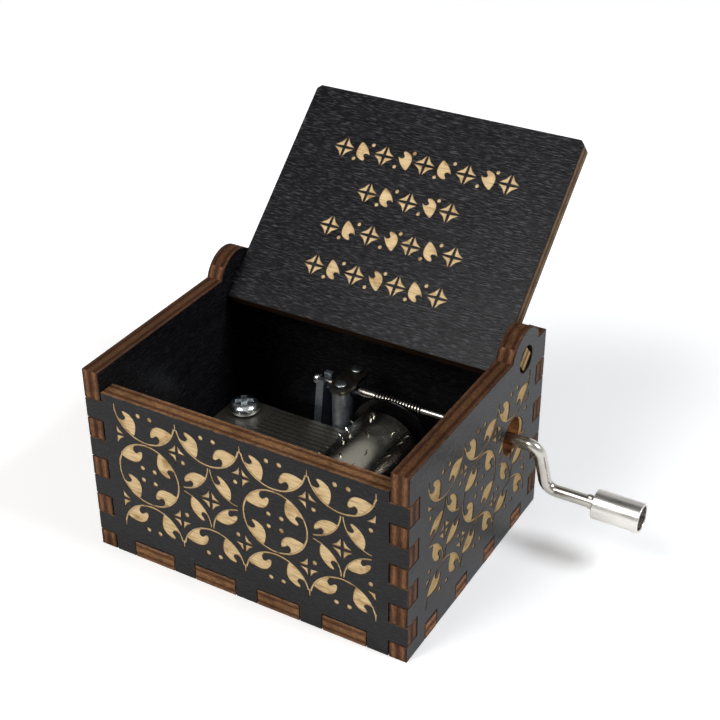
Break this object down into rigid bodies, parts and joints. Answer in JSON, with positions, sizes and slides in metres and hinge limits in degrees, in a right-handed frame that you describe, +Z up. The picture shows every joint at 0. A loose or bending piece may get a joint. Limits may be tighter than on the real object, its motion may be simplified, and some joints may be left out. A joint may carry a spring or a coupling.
{
  "type": "hand-cranked music box",
  "caption": "Small finger-jointed plywood box with a pivoting lid and a comb-and-drum movement turned by a side crank.",
  "frame": {"origin": "centre of the case's underside, on the surface it stands on", "axes": "+Z up, +X out of the side with the crank, -Y out of the front, so the lid's pivots are near +Y"},
  "size_m": [0.0889, 0.0755, 0.0655],
  "materials": {
    "case_ply": "three-layer plywood, stained charcoal black, matte, with brown laser-cut edges and engraving",
    "lid_ply": "three-layer plywood, stained black, matte, with pale engraving",
    "zinc_casting": "die-cast zinc, matte blue-grey",
    "comb_steel": "spring steel, ground",
    "lead": "dull lead solder",
    "zinc_plated_screw": "bright zinc plate",
    "drum_steel": "bright satin steel",
    "black_plastic": "moulded black nylon",
    "nickel_wire": "bright nickel plate",
    "nickel_sleeve": "bright nickel plate",
    "retainer_steel": "blanked steel, satin"
  },
  "bodies": {
    "case": {"front_panel": "case_ply", "back_panel": "case_ply", "left_side_panel": "case_ply", "right_side_panel": "case_ply", "bottom_panel": "case_ply", "bedplate": "zinc_casting", "comb": "comb_steel", "comb_weight_1": "lead", "comb_weight_2": "lead", "comb_weight_3": "lead", "comb_weight_4": "lead", "comb_weight_5": "lead", "comb_weight_6": "lead", "comb_weight_7": "lead", "comb_weight_8": "lead", "comb_screw_front": "zinc_plated_screw", "comb_screw_rear": "zinc_plated_screw", "base_screw_1": "zinc_plated_screw", "base_screw_2": "zinc_plated_screw", "base_screw_3": "zinc_plated_screw", "retainer_plate": "retainer_steel", "retainer_rivet_front": "zinc_plated_screw", "retainer_rivet_rear": "zinc_plated_screw"},
    "lid": {"lid": "lid_ply"},
    "crank": {"crank_shaft": "nickel_wire"},
    "knob": {"knob_sleeve": "nickel_sleeve"},
    "drum": {"drum_shell": "drum_steel", "drum_front_cap": "black_plastic", "drum_rear_cap": "black_plastic", "drum_arbor": "drum_steel", "drive_gear": "black_plastic"}
  },
  "joints": [
    {"name": "lid_hinge", "type": "hinge", "parent": "case", "child": "lid", "pos_m": [0, 0.0173, 0.0364], "axis": [1, 0, 0], "range_deg": [-7, 138.3]},
    {"name": "crank_spin", "type": "hinge", "parent": "case", "child": "crank", "pos_m": [0, 0.013, 0.02197], "axis": [1, 0, 0], "continuous": true},
    {"name": "knob_spin", "type": "hinge", "parent": "crank", "child": "knob", "pos_m": [0.0481, 0.01489, 0.01235], "axis": [1, 0, 0], "continuous": true},
    {"name": "drum_spin", "type": "hinge", "parent": "case", "child": "drum", "pos_m": [0.0085, -0.0024, 0.015], "axis": [0, 1, 0], "continuous": true}
  ],
  "couplings": [
    {"joint": "drum_spin", "follows": "crank_spin", "ratio": -0.016667}
  ]
}
